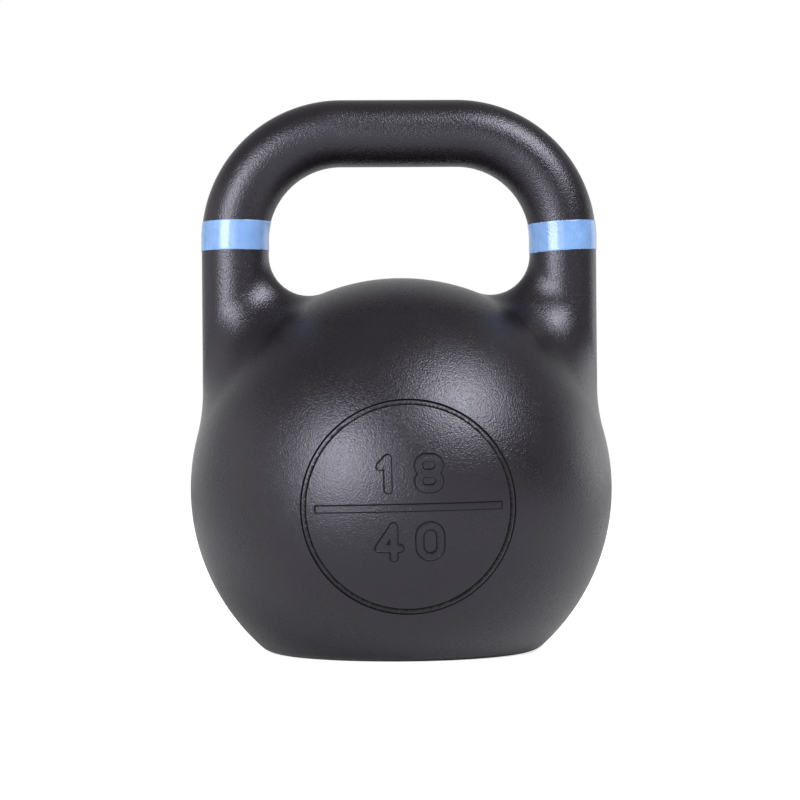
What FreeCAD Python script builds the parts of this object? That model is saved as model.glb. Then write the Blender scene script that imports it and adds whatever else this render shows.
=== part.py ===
import FreeCAD
import Part
import Sketcher
import math
import os

# Competition kettlebell: a hollow cast ball with two horns, a bent bar handle welded
# across them, a colour band over each weld, and ballast clamped to a welded base plate.
# Millimetres. Origin under the ball's centre on the floor, +Z up, the weight mark faces -Y.

SIZES = {
    # ball
    "ball_diameter": 210,
    "base_diameter": 134,
    "base_edge_radius": 12,
    "shell_wall": 12,
    # horns and handle
    "window_height": 55.75,
    "leg_spacing": 163.9,
    "bar_diameter": 33.4,
    "bend_radius": 53.2,
    "horn_fillet": 20,
    "horn_land": 1,
    # joint between horns and handle
    "joint_drop": 2.6,
    "weld_depth": 2.5,
    "spigot_diameter": 16,
    "spigot_length": 20,
    "spigot_clearance": 0.2,
    "spigot_end_gap": 0.5,
    # colour bands
    "band_underlap": 2.75,
    "band_width": 14.7,
    "band_thickness": 0.4,
    "band_clearance": 0.05,
    "right_band_drop": 1.2,
    "right_band_tilt": 3.3,
    # weight mark on the front
    "mark_drop": 6.5,
    "mark_turn": 0.9,
    "mark_depth": 0.9,
    "ring_diameter": 100,
    "ring_width": 2.3,
    "divider_length": 87,
    "divider_width": 3.4,
    "numeral_height": 18.2,
    "numeral_width": 13.5,
    "numeral_stroke": 3.8,
    "numeral_space": 5.5,
    "numeral_offset": 15.7,
    # base plate and its weld
    "rim_width": 7,
    "plate_thickness": 8,
    "plate_recess": 1,
    "plate_clearance": 0.2,
    "plate_seat_width": 6,
    "plate_seat_thickness": 7,
    "plate_weld_width": 3,
    "plate_weld_depth": 4,
    # ballast
    "pad_thickness": 3,
    "ballast_clearance": 4.3,
    "ballast_length": 106,
    "ballast_chamfer": 3,
    "bolt_diameter": 12,
    "bolt_head_width": 18,
    "bolt_head_height": 7.5,
    "bolt_hole_clearance": 0.5,
    "thread_clearance": 0.05,
    "thread_depth": 6.5,
    "thread_end_gap": 0.5,
    "washer_diameter": 24,
    "washer_thickness": 2.5,
}

# Expressions used by more than one piece: the ball
BALL_R = "(sizes.ball_diameter / 2)"
CENTRE_Z = f"sqrt({BALL_R} ^ 2 - (sizes.base_diameter / 2) ^ 2)"

# The bar's centre line: legs, bends and grip
BAR_R = "(sizes.bar_diameter / 2)"
LEG_X = "(sizes.leg_spacing / 2)"
GRIP_Z = f"({CENTRE_Z} + {BALL_R} + sizes.window_height + {BAR_R})"
BEND_Z = f"({GRIP_Z} - sizes.bend_radius)"
BEND_X = f"({LEG_X} - sizes.bend_radius)"
JOINT_Z = f"({BEND_Z} - sizes.joint_drop)"

# The base: flat ring, recess, plate and seat, from the outside in
EDGE_RISE = f"({CENTRE_Z} - sizes.base_edge_radius)"
FLAT_R = f"sqrt(({BALL_R} - sizes.base_edge_radius) ^ 2 - {EDGE_RISE} ^ 2)"
MOUTH_R = f"({FLAT_R} - sizes.rim_width)"
RECESS_R = f"({MOUTH_R} - sizes.plate_weld_width)"
PLATE_R = f"({RECESS_R} - sizes.plate_clearance)"
OPENING_R = f"({PLATE_R} - sizes.plate_seat_width)"
WELD_TOP_Z = "(sizes.plate_recess + sizes.plate_weld_depth)"
SEAT_Z = "(sizes.plate_recess + sizes.plate_thickness)"
CAVITY_FLOOR_Z = f"({SEAT_Z} + sizes.plate_seat_thickness)"

# The ballast: pad, slug, washer and bolt, from the plate up
BALLAST_R = f"({OPENING_R} - sizes.ballast_clearance)"
CORE_Z = f"({SEAT_Z} + sizes.pad_thickness)"
WASHER_Z = f"({CORE_Z} + sizes.ballast_length)"
HEAD_Z = f"({WASHER_Z} + sizes.washer_thickness)"
BOLT_HOLE_R = "(sizes.bolt_diameter / 2 + sizes.bolt_hole_clearance)"
TAPPED_Z = f"({SEAT_Z} - sizes.thread_depth)"

SIDES = {"left": -1, "right": 1}
ORIGIN_POINT = (-1, 1)

# The weight mark: each number and its row, and the straight numerals' lines as shares of
# a numeral's width and height
NUMBERS = (("18", 1), ("40", -1))
NUMERAL_LINES = {
    "1": [((0.5, 0), (0.5, 1)), ((0.15, 0.75), (0.5, 1))],
    "4": [((0.72, 0), (0.72, 1)), ((0.72, 1), (0, 0.3)), ((0, 0.3), (1, 0.3))],
}

# How near counts as the same height or radius, and the least volume a cut has to remove
SAME = 0.01
LEAST_CUT = 1

doc = FreeCAD.newDocument("kettlebell")


# ---------------------------------------------------------------- sheet and sketches

def make_sheet():
    """Put the driving dimensions in a spreadsheet, one alias a row."""
    sheet = doc.addObject("Spreadsheet::Sheet", "sizes")
    for row, (alias, value) in enumerate(SIZES.items(), start=1):
        sheet.set(f"A{row}", alias)
        sheet.set(f"B{row}", str(value))
        sheet.setAlias(f"B{row}", alias)
    doc.recompute()
    return sheet


def value_of(expression):
    """The number that an expression over the sheet has now."""
    return float(sheet.evalExpression(expression))


def origin_plane(body, role):
    return next(f for f in body.Origin.OriginFeatures if f.Role == role)


def new_body(label):
    body = doc.addObject("PartDesign::Body", label)
    body.Label = label
    return body


def new_sketch(body, name, role, offset=None):
    """A sketch on one of the body's own origin planes, raised by an offset expression."""
    sketch = body.newObject("Sketcher::SketchObject", name)
    sketch.AttachmentSupport = (origin_plane(body, role), [""])
    sketch.MapMode = "FlatFace"
    if offset:
        sketch.setExpression("AttachmentOffset.Base.z", offset)
    return sketch


def bind(sketch, kind, where, expression):
    """Add one dimension to a sketch and bind it to the sheet."""
    index = sketch.addConstraint(Sketcher.Constraint(kind, *where, value_of(expression)))
    sketch.setExpression(f"Constraints[{index}]", expression)


def pin(sketch, point, across, up):
    """Fix a sketch point by its two distances from the origin."""
    bind(sketch, "DistanceX", (*ORIGIN_POINT, *point), across)
    bind(sketch, "DistanceY", (*ORIGIN_POINT, *point), up)


def vector(across, up):
    return FreeCAD.Vector(value_of(across), value_of(up), 0)


def add_polygon(sketch, corners):
    """A closed polygon whose corners are pairs of expressions."""
    points = [vector(*corner) for corner in corners]
    count = len(points)
    first = sketch.GeometryCount
    for i in range(count):
        sketch.addGeometry(Part.LineSegment(points[i], points[(i + 1) % count]))
    for i in range(count):
        joint = (first + i, 2, first + (i + 1) % count, 1)
        sketch.addConstraint(Sketcher.Constraint("Coincident", *joint))
        pin(sketch, (first + i, 1), *corners[i])


def add_circle(sketch, across, up, radius):
    centre = vector(across, up)
    circle = Part.Circle(centre, FreeCAD.Vector(0, 0, 1), value_of(radius))
    index = sketch.addGeometry(circle)
    pin(sketch, (index, 3), across, up)
    bind(sketch, "Radius", (index,), radius)


def add_line(sketch, start, end):
    """A line with both ends pinned."""
    index = sketch.addGeometry(Part.LineSegment(vector(*start), vector(*end)))
    pin(sketch, (index, 1), *start)
    pin(sketch, (index, 2), *end)
    return index


def add_arc(sketch, centre, start, end, joins):
    """An arc, counter-clockwise from start to end, joined to the pinned ends of its neighbours."""
    middle = vector(*centre)
    first = vector(*start) - middle
    last = vector(*end) - middle
    circle = Part.Circle(middle, FreeCAD.Vector(0, 0, 1), first.Length)
    begin = math.atan2(first.y, first.x)
    finish = math.atan2(last.y, last.x)
    if finish < begin:
        finish += 2 * math.pi
    index = sketch.addGeometry(Part.ArcOfCircle(circle, begin, finish))
    for own_end, neighbour in joins:
        sketch.addConstraint(Sketcher.Constraint("Coincident", index, own_end, *neighbour))
    return index


# ---------------------------------------------------------------- features

def pad(body, sketch, length, name, reversed_way=False):
    feature = body.newObject("PartDesign::Pad", name)
    feature.Profile = sketch
    feature.setExpression("Length", length)
    feature.Reversed = reversed_way
    return feature


def revolve(body, sketch, name, kind="PartDesign::Revolution"):
    feature = body.newObject(kind, name)
    feature.Profile = sketch
    feature.ReferenceAxis = (sketch, ["V_Axis"])
    feature.Angle = 360
    return feature


def dress(body, kind, base, edges, size_name, expression, name):
    """A fillet or chamfer on edges of the feature before it."""
    feature = body.newObject(kind, name)
    feature.Base = (base, edges)
    feature.setExpression(size_name, expression)
    doc.recompute()
    return feature


def edges_where(feature, test):
    shape = feature.Shape
    return [f"Edge{i}" for i, edge in enumerate(shape.Edges, start=1) if test(shape, edge)]


def is_circle_at(edge, height, radius):
    """Whether an edge is a level circle of this radius at this height."""
    if edge.Degenerated or not isinstance(edge.Curve, Part.Circle):
        return False
    curve = edge.Curve
    return abs(curve.Center.z - height) < SAME and abs(curve.Radius - radius) < SAME


def is_horn_seam(shape, edge):
    """Whether an edge is where a horn's cylinder runs into the ball."""
    kinds = {type(face.Surface).__name__ for face in shape.ancestorsOfType(edge, Part.Face)}
    return kinds == {"Cylinder", "Sphere"}


def must_shrink(body, before, what):
    """Stop if a cut that ought to remove material removed none."""
    doc.recompute()
    if body.Shape.Volume > before - LEAST_CUT:
        raise RuntimeError(f"{what} removed nothing")


def turned_body(label, corners):
    """A body turned about its own Z axis from one closed section."""
    body = new_body(label)
    section = new_sketch(body, label + "_section", "XZ_Plane")
    add_polygon(section, corners)
    revolve(body, section, label + "_turned")
    doc.recompute()
    return body


# ---------------------------------------------------------------- ball shell

def ball_solid(body):
    """The ball, cut flat at the floor."""
    section = new_sketch(body, "ball_section", "XZ_Plane")
    ball_top = f"({CENTRE_Z} + {BALL_R})"
    base_r = "(sizes.base_diameter / 2)"
    axis = add_line(section, ("0", ball_top), ("0", "0"))
    base = add_line(section, ("0", "0"), (base_r, "0"))
    centre = ("0", CENTRE_Z)
    joins = ((1, (base, 2)), (2, (axis, 1)))
    arc = add_arc(section, centre, (base_r, "0"), ("0", ball_top), joins)
    bind(section, "Radius", (arc,), BALL_R)
    return revolve(body, section, "ball")


def ball_cavity(body):
    """The hollow inside, the way in through the base and the seat for the plate."""
    section = new_sketch(body, "cavity_section", "XZ_Plane")
    cavity_r = f"({BALL_R} - sizes.shell_wall)"
    cavity_top = f"({CENTRE_Z} + {cavity_r})"
    floor_r = f"sqrt({cavity_r} ^ 2 - ({CENTRE_Z} - {CAVITY_FLOOR_Z}) ^ 2)"
    corners = [
        ("0", cavity_top),
        ("0", "0"),
        (MOUTH_R, "0"),
        (MOUTH_R, "sizes.plate_recess"),
        (RECESS_R, WELD_TOP_Z),
        (RECESS_R, SEAT_Z),
        (OPENING_R, SEAT_Z),
        (OPENING_R, CAVITY_FLOOR_Z),
        (floor_r, CAVITY_FLOOR_Z),
    ]
    lines = [add_line(section, *ends) for ends in zip(corners, corners[1:])]
    centre = ("0", CENTRE_Z)
    joins = ((1, (lines[-1], 2)), (2, (lines[0], 1)))
    arc = add_arc(section, centre, corners[-1], corners[0], joins)
    bind(section, "Radius", (arc,), cavity_r)
    return revolve(body, section, "cavity", "PartDesign::Groove")


def horn_circles(body, name, offset, radius):
    """A sketch with one circle on each leg's centre line."""
    sketch = new_sketch(body, name, "XY_Plane", offset)
    for side in SIDES.values():
        add_circle(sketch, f"{side} * {LEG_X}", "0", radius)
    return sketch


def horn_fillet_radius():
    """The blend's radius, or the largest that leaves a straight land below the weld bevel."""
    leg_inside = f"({LEG_X} - {BAR_R})"
    rise = f"({JOINT_Z} - sizes.weld_depth - sizes.horn_land - {CENTRE_Z})"
    limit = f"({rise} ^ 2 - {BALL_R} ^ 2 + {leg_inside} ^ 2) / (2 * ({BALL_R} + {leg_inside}))"
    return f"min(sizes.horn_fillet; {limit})"


def make_ball_casting():
    """The casting before its mark: ball, horns, fillets, cavity, sockets and weld bevels."""
    body = new_body("ball_casting")
    ball_solid(body)
    legs = horn_circles(body, "horn_circles", CENTRE_Z, BAR_R)
    horns = pad(body, legs, f"{JOINT_Z} - {CENTRE_Z}", "horns")
    doc.recompute()
    blend = dress(body, "PartDesign::Fillet", horns, edges_where(horns, is_horn_seam),
                  "Radius", horn_fillet_radius(), "horn_blend")

    base_r = value_of("sizes.base_diameter / 2")
    rim = edges_where(blend, lambda shape, edge: is_circle_at(edge, 0, base_r))
    dress(body, "PartDesign::Fillet", blend, rim, "Radius", "sizes.base_edge_radius", "base_edge")

    before = body.Shape.Volume
    ball_cavity(body)
    must_shrink(body, before, "the cavity")

    before = body.Shape.Volume
    socket_r = "sizes.spigot_diameter / 2 + sizes.spigot_clearance"
    sockets = body.newObject("PartDesign::Pocket", "sockets")
    sockets.Profile = horn_circles(body, "socket_circles", JOINT_Z, socket_r)
    sockets.setExpression("Length", "sizes.spigot_length + sizes.spigot_end_gap")
    must_shrink(body, before, "the sockets")

    height = value_of(JOINT_Z)
    tips = edges_where(sockets, lambda shape, edge: is_circle_at(edge, height, value_of(BAR_R)))
    dress(body, "PartDesign::Chamfer", sockets, tips, "Size", "sizes.weld_depth", "horn_bevels")
    return body


def stroke(start, end, width):
    """A flat strip with round ends from one point to another, in the mark's plane."""
    along = (end - start).normalize()
    across = FreeCAD.Vector(-along.z, 0, along.x) * (width / 2)
    tip = along * (width / 2)
    edges = [
        Part.LineSegment(start + across, end + across).toShape(),
        Part.Arc(end + across, end + tip, end - across).toShape(),
        Part.LineSegment(end - across, start - across).toShape(),
        Part.Arc(start - across, start - tip, start + across).toShape(),
    ]
    return Part.Face(Part.Wire(edges))


def oval(centre, half_width, half_height, weight):
    """A flat ring with round ends along its longer way."""
    radius = min(half_width, half_height)
    reach = FreeCAD.Vector(half_width - radius, 0, half_height - radius)
    outer = stroke(centre - reach, centre + reach, 2 * radius)
    inner = stroke(centre - reach, centre + reach, 2 * (radius - weight))
    return outer.cut(inner)


def numeral_strokes(digit, left, foot, width, height, weight):
    """The flat shapes of one plain round-ended numeral, from its left foot corner."""
    inset = weight / 2

    def at(across, up):
        x = left + inset + across * (width - weight)
        z = foot + inset + up * (height - weight)
        return FreeCAD.Vector(x, 0, z)

    if digit in NUMERAL_LINES:
        return [stroke(at(*start), at(*end), weight) for start, end in NUMERAL_LINES[digit]]
    middle = at(0.5, 0.5)
    if digit == "0":
        return [oval(middle, width / 2, height / 2, weight)]
    if digit == "8":
        half = (height + weight) / 4
        rise = FreeCAD.Vector(0, 0, half - inset)
        return [oval(middle + rise, width / 2, half, weight),
                oval(middle - rise, width / 2, half, weight)]
    raise ValueError(f"no numeral {digit}")


def make_numerals():
    """The two numbers, one above and one below the divider, extruded towards the front."""
    size = {name: sheet.get(name) for name in SIZES}
    width = size["numeral_width"]
    pitch = width + size["numeral_space"]
    shapes = []
    for text, row in NUMBERS:
        left = -(pitch * (len(text) - 1) + width) / 2
        foot = row * size["numeral_offset"] - size["numeral_height"] / 2
        for place, digit in enumerate(text):
            shapes += numeral_strokes(digit, left + place * pitch, foot, width,
                                      size["numeral_height"], size["numeral_stroke"])
    flat = shapes[0].fuse(shapes[1:]).removeSplitter()
    numerals = doc.addObject("Part::Feature", "numerals")
    numerals.Shape = flat.extrude(FreeCAD.Vector(0, -size["ball_diameter"], 0))
    return numerals


def make_ring_tool():
    """The ring groove's outline as a tube along Y."""
    radii = ("sizes.ring_diameter / 2", "sizes.ring_diameter / 2 - sizes.ring_width")
    discs = []
    for name, radius in zip(("ring_outside", "ring_inside"), radii):
        disc = doc.addObject("Part::Cylinder", name)
        disc.setExpression("Radius", radius)
        disc.setExpression("Height", "sizes.ball_diameter")
        disc.Placement.Rotation = FreeCAD.Rotation(FreeCAD.Vector(1, 0, 0), 90)
        discs.append(disc)
    ring = doc.addObject("Part::Cut", "ring_tool")
    ring.Base, ring.Tool = discs
    return ring


def make_divider():
    """The bar between the two numbers."""
    bar = doc.addObject("Part::Box", "divider")
    bar.setExpression("Length", "sizes.divider_length")
    bar.setExpression("Width", "sizes.ball_diameter")
    bar.setExpression("Height", "sizes.divider_width")
    bar.setExpression("Placement.Base.x", "-sizes.divider_length / 2")
    bar.setExpression("Placement.Base.y", "-sizes.ball_diameter")
    bar.setExpression("Placement.Base.z", "-sizes.divider_width / 2")
    return bar


def make_mark_tool():
    """What the mark takes out of the ball: its outline, down to an even depth."""
    outline = doc.addObject("Part::MultiFuse", "mark_outline")
    outline.Shapes = [make_numerals(), make_ring_tool(), make_divider()]
    outline.Placement.Rotation = FreeCAD.Rotation(FreeCAD.Vector(0, -1, 0), SIZES["mark_turn"])
    outline.setExpression("Placement.Base.z", f"{CENTRE_Z} - sizes.mark_drop")
    floor = doc.addObject("Part::Sphere", "mark_floor")
    floor.setExpression("Radius", f"{BALL_R} - sizes.mark_depth")
    floor.setExpression("Placement.Base.z", CENTRE_Z)
    tool = doc.addObject("Part::Cut", "mark_tool")
    tool.Base = outline
    tool.Tool = floor
    return tool


def make_ball_shell():
    casting = make_ball_casting()
    shell = doc.addObject("Part::Cut", "ball_shell")
    shell.Base = casting
    shell.Tool = make_mark_tool()
    doc.recompute()
    if shell.Shape.Volume > casting.Shape.Volume - LEAST_CUT:
        raise RuntimeError("the mark removed nothing")
    return shell


# ---------------------------------------------------------------- handle, welds and bands

def make_handle_arch():
    """A round bar over two bends, with a spigot under each end and bevels for the welds."""
    body = new_body("handle_arch")
    path = new_sketch(body, "bar_path", "XZ_Plane")
    feet = [(f"{side} * {LEG_X}", JOINT_Z) for side in (-1, 1)]
    shoulders = [(f"{side} * {LEG_X}", BEND_Z) for side in (-1, 1)]
    grips = [(f"{side} * {BEND_X}", GRIP_Z) for side in (-1, 1)]
    centres = [(f"{side} * {BEND_X}", BEND_Z) for side in (-1, 1)]
    left_leg = add_line(path, feet[0], shoulders[0])
    grip = add_line(path, grips[0], grips[1])
    right_leg = add_line(path, shoulders[1], feet[1])
    left_joins = ((1, (grip, 1)), (2, (left_leg, 2)))
    right_joins = ((1, (right_leg, 1)), (2, (grip, 2)))
    for centre, start, end, joins in (
        (centres[0], grips[0], shoulders[0], left_joins),
        (centres[1], shoulders[1], grips[1], right_joins),
    ):
        arc = add_arc(path, centre, start, end, joins)
        bind(path, "Radius", (arc,), "sizes.bend_radius")

    section = new_sketch(body, "bar_section", "XY_Plane", JOINT_Z)
    add_circle(section, f"-{LEG_X}", "0", BAR_R)
    bar = body.newObject("PartDesign::AdditivePipe", "bar")
    bar.Profile = section
    bar.Spine = path
    doc.recompute()

    height = value_of(JOINT_Z)
    ends = edges_where(bar, lambda shape, edge: is_circle_at(edge, height, value_of(BAR_R)))
    dress(body, "PartDesign::Chamfer", bar, ends, "Size", "sizes.weld_depth", "bar_bevels")
    circles = horn_circles(body, "spigot_circles", JOINT_Z, "sizes.spigot_diameter / 2")
    pad(body, circles, "sizes.spigot_length", "spigots", reversed_way=True)
    doc.recompute()
    return body


def make_weld_ring(side_name, side):
    """The weld that fills the two bevels, ground flush with the bar."""
    root_r = f"({BAR_R} - sizes.weld_depth)"
    ring = turned_body(f"{side_name}_weld_ring", [
        (root_r, JOINT_Z),
        (BAR_R, f"{JOINT_Z} - sizes.weld_depth"),
        (BAR_R, f"{JOINT_Z} + sizes.weld_depth"),
    ])
    ring.setExpression("Placement.Base.x", f"{side} * {LEG_X}")
    return ring


def make_colour_band(side_name, side, drop, tilt):
    """A thin sleeve over the top of the leg and the bend, trimmed by two parallel planes."""
    body = new_body(f"{side_name}_colour_band")
    bottom = f"({JOINT_Z} - sizes.band_underlap - {drop})"
    top = f"({bottom} + sizes.band_width)"
    spare = "sizes.bar_diameter"
    start = (f"{side} * {LEG_X}", f"({bottom} - {spare})")
    shoulder = (f"{side} * {LEG_X}", BEND_Z)
    grip = (f"{side} * {BEND_X}", GRIP_Z)
    centre = (f"{side} * {BEND_X}", BEND_Z)

    path = new_sketch(body, f"{side_name}_band_path", "XZ_Plane")
    leg = add_line(path, start, shoulder)
    if side > 0:
        arc = add_arc(path, centre, shoulder, grip, ((1, (leg, 2)),))
        free_end = 2
    else:
        arc = add_arc(path, centre, grip, shoulder, ((2, (leg, 2)),))
        free_end = 1
    pin(path, (arc, 3), *centre)
    bind(path, "DistanceX", (*ORIGIN_POINT, arc, free_end), grip[0])

    section = new_sketch(body, f"{side_name}_band_section", "XY_Plane", start[1])
    inner_r = f"({BAR_R} + sizes.band_clearance)"
    for radius in (inner_r, f"({inner_r} + sizes.band_thickness)"):
        add_circle(section, start[0], "0", radius)
    sleeve = body.newObject("PartDesign::AdditivePipe", f"{side_name}_sleeve")
    sleeve.Profile = section
    sleeve.Spine = path
    doc.recompute()

    before = body.Shape.Volume
    trims = new_sketch(body, f"{side_name}_trims", "XZ_Plane")
    reach = "(sizes.bend_radius + sizes.bar_diameter)"
    slope = f"tan({tilt} * 1 deg)"
    inner_x = f"({side} * {LEG_X} - {reach})"
    outer_x = f"({side} * {LEG_X} + {reach})"
    for edge, beyond in ((bottom, f"-2 * {reach}"), (top, f"2 * {reach}")):
        add_polygon(trims, [
            (inner_x, f"{edge} - {reach} * {slope}"),
            (outer_x, f"{edge} + {reach} * {slope}"),
            (outer_x, f"{edge} + {beyond}"),
            (inner_x, f"{edge} + {beyond}"),
        ])
    trim = body.newObject("PartDesign::Pocket", f"{side_name}_trim")
    trim.Profile = trims
    trim.Midplane = True
    trim.setExpression("Length", f"2 * {reach}")
    must_shrink(body, before, "the band's trim")
    return body


# ---------------------------------------------------------------- base plate and ballast

def make_base_plate():
    """A disc with a bevelled rim below and a blind tapped hole above."""
    tapped_r = "(sizes.bolt_diameter / 2 + sizes.thread_clearance)"
    return turned_body("base_plate", [
        ("0", "sizes.plate_recess"),
        (f"{PLATE_R} - sizes.plate_weld_width", "sizes.plate_recess"),
        (PLATE_R, WELD_TOP_Z),
        (PLATE_R, SEAT_Z),
        (tapped_r, SEAT_Z),
        (tapped_r, TAPPED_Z),
        ("0", TAPPED_Z),
    ])


def make_base_weld_ring():
    """The weld between the plate's rim and the shell, flush with the plate."""
    return turned_body("base_weld_ring", [
        (f"{PLATE_R} - sizes.plate_weld_width", "sizes.plate_recess"),
        (f"{RECESS_R} + sizes.plate_weld_width", "sizes.plate_recess"),
        (RECESS_R, WELD_TOP_Z),
        (PLATE_R, WELD_TOP_Z),
    ])


def make_disc(label, radius, bottom, thickness):
    """A flat disc with a hole that clears the bolt."""
    return turned_body(label, [
        (BOLT_HOLE_R, bottom),
        (radius, bottom),
        (radius, f"{bottom} + {thickness}"),
        (BOLT_HOLE_R, f"{bottom} + {thickness}"),
    ])


def make_ballast_core():
    """A round iron slug with bevelled ends and a through hole."""
    bevel = "sizes.ballast_chamfer"
    return turned_body("ballast_core", [
        (BOLT_HOLE_R, CORE_Z),
        (f"{BALLAST_R} - {bevel}", CORE_Z),
        (BALLAST_R, f"{CORE_Z} + {bevel}"),
        (BALLAST_R, f"{WASHER_Z} - {bevel}"),
        (f"{BALLAST_R} - {bevel}", WASHER_Z),
        (BOLT_HOLE_R, WASHER_Z),
    ])


def make_ballast_bolt():
    """A hexagon bolt from above the slug down into the plate."""
    body = new_body("ballast_bolt")
    head_section = new_sketch(body, "bolt_head_section", "XY_Plane", HEAD_Z)
    corner_r = "sizes.bolt_head_width / 2 / cos(30 deg)"
    corners = []
    for turn in range(0, 360, 60):
        corners.append((f"{corner_r} * cos({turn} deg)", f"{corner_r} * sin({turn} deg)"))
    add_polygon(head_section, corners)
    pad(body, head_section, "sizes.bolt_head_height", "bolt_head")
    shank_section = new_sketch(body, "bolt_shank_section", "XY_Plane", HEAD_Z)
    add_circle(shank_section, "0", "0", "sizes.bolt_diameter / 2")
    length = f"{HEAD_Z} - {TAPPED_Z} - sizes.thread_end_gap"
    pad(body, shank_section, length, "bolt_shank", reversed_way=True)
    doc.recompute()
    return body


# ---------------------------------------------------------------- build, check and write

def check_document():
    """Stop if any object failed or any shape is missing or broken."""
    for item in doc.Objects:
        if "Invalid" in item.State or "Error" in item.State:
            raise RuntimeError(f"{item.Name} failed: {item.State}")


def check_pieces(pieces):
    for piece in pieces:
        shape = piece.Shape
        if shape.isNull() or not shape.isValid():
            raise RuntimeError(f"{piece.Label} has no valid shape")
        if len(shape.Solids) != 1:
            raise RuntimeError(f"{piece.Label} is {len(shape.Solids)} solids, not one")


def main():
    pieces = [make_ball_shell(), make_handle_arch()]
    for side_name, side in SIDES.items():
        pieces.append(make_weld_ring(side_name, side))
    pieces.append(make_colour_band("left", SIDES["left"], "0", "0"))
    pieces.append(make_colour_band("right", SIDES["right"], "sizes.right_band_drop",
                                   "sizes.right_band_tilt"))
    pieces.append(make_base_plate())
    pieces.append(make_base_weld_ring())
    pieces.append(make_disc("ballast_pad", BALLAST_R, SEAT_Z, "sizes.pad_thickness"))
    pieces.append(make_ballast_core())
    pieces.append(make_disc("ballast_washer", "sizes.washer_diameter / 2", WASHER_Z,
                            "sizes.washer_thickness"))
    pieces.append(make_ballast_bolt())
    doc.recompute()
    check_document()
    check_pieces(pieces)
    os.makedirs("parts", exist_ok=True)
    for piece in pieces:
        piece.Shape.exportStep(f"parts/{piece.Label}.step")
        print(f"{piece.Label}: {piece.Shape.Volume / 1000:.1f} cm3")


sheet = make_sheet()
main()
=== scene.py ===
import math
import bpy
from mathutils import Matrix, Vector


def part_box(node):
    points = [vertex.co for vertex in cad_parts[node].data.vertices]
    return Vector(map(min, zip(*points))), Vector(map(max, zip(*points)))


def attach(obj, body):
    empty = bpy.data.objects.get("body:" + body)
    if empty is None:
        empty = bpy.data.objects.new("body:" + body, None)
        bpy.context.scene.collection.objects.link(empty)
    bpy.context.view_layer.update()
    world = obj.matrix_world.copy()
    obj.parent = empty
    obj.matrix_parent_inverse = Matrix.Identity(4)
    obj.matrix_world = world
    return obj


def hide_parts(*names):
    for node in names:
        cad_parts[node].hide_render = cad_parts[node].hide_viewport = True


bl_info = {
    "name": "Kettlebell",
    "version": (1, 0, 0),
    "blender": (4, 5, 0),
    "location": "View3D > Sidebar > Kettlebell",
    "description": "Builds the finish and the studio round a packed competition kettlebell",
    "category": "Object",
}

import bmesh
import bpy
import numpy as np
from mathutils import Matrix, Vector, geometry

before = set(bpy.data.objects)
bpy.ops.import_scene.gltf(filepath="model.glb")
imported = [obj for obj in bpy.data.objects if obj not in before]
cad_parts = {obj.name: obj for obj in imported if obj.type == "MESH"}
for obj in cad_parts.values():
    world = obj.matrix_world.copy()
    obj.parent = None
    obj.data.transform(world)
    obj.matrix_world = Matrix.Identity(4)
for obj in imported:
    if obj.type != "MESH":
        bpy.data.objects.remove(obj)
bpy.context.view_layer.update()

MM = 0.001
# Name of the attribute that marks where shade is painted into the sunk mark's walls
PAINTED_SHADE = "painted_shade"
SIDES = {"left": -1, "right": 1}

LEG_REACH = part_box("handle_arch")[1][0]
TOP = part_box("handle_arch")[1][2]
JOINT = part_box("ball_shell")[1][2]
PLATE_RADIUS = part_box("base_plate")[1][0]

# Each number in the mark with its row, and the straight numerals' lines as shares of a
# numeral's width and height
NUMBERS = (("18", 1), ("40", -1))
NUMERAL_LINES = {
    "1": (((0.5, 0), (0.5, 1)), ((0.15, 0.75), (0.5, 1))),
    "4": (((0.72, 0), (0.72, 1)), ((0.72, 1), (0, 0.3)), ((0, 0.3), (1, 0.3))),
}

# Softboxes: name, azimuth, elevation, width and height in degrees, radiance
LIGHTS = (
    ("left_softbox", -36, 13, 31, 42, 10.4),
    ("right_softbox", 42, 45, 31, 28, 12.5),
    ("front_fill", -8, 2, 16, 30, 2.6),
    ("left_wall", -88, 8, 50, 40, 0.7),
    ("right_wall", 125, 0, 30, 30, 1.0),
)
LIGHT_DISTANCE = 3.0
LIGHT_AIM = Vector((0, 0, 0.11))
FLOOR_GAP = 0.1 * MM


# ---- sizes and colours

def length(name, description, default):
    return bpy.props.FloatProperty(name=name, description=description, default=default,
                                   min=0, precision=5, unit="LENGTH")


def angle(name, description, degrees):
    return bpy.props.FloatProperty(name=name, description=description,
                                   default=math.radians(degrees), unit="ROTATION")


def number(name, description, default):
    return bpy.props.FloatProperty(name=name, description=description, default=default, min=0)


def colour(name, description, default):
    return bpy.props.FloatVectorProperty(name=name, description=description, default=default,
                                         size=3, min=0, max=1, subtype="COLOR")


class KettlebellBody(bpy.types.PropertyGroup):
    """Sizes of the ball, the horns and the base."""

    ball_radius: length("Ball radius", "Radius of the round body", 105 * MM)
    base_radius: length("Base radius", "Where the ball meets the floor before its edge is rounded",
                        67 * MM)
    base_edge: length("Base edge", "Radius of the rounding round the base", 12 * MM)
    wall: length("Wall", "Thickness of the cast wall", 12 * MM)
    rim: length("Rim", "Width of the flat ring the bell stands on", 7 * MM)
    plate_room: length("Plate room", "Clearance round the closing plate", 0.2 * MM)
    weld_width: length("Weld width", "Width of the bead round the closing plate", 3.2 * MM)
    seat_width: length("Seat width", "How far the closing plate overlaps its seat", 6 * MM)
    seat_thickness: length("Seat thickness", "Thickness of the seat above the plate", 7 * MM)
    inner_blend: length("Inner blend", "Radius between horn and ball, inside the window", 20 * MM)
    outer_blend: length("Outer blend", "Radius between horn and ball, on the outside", 90 * MM)
    skin_spacing: length("Skin spacing", "Distance between points of the ball's skin", 3 * MM)


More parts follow.
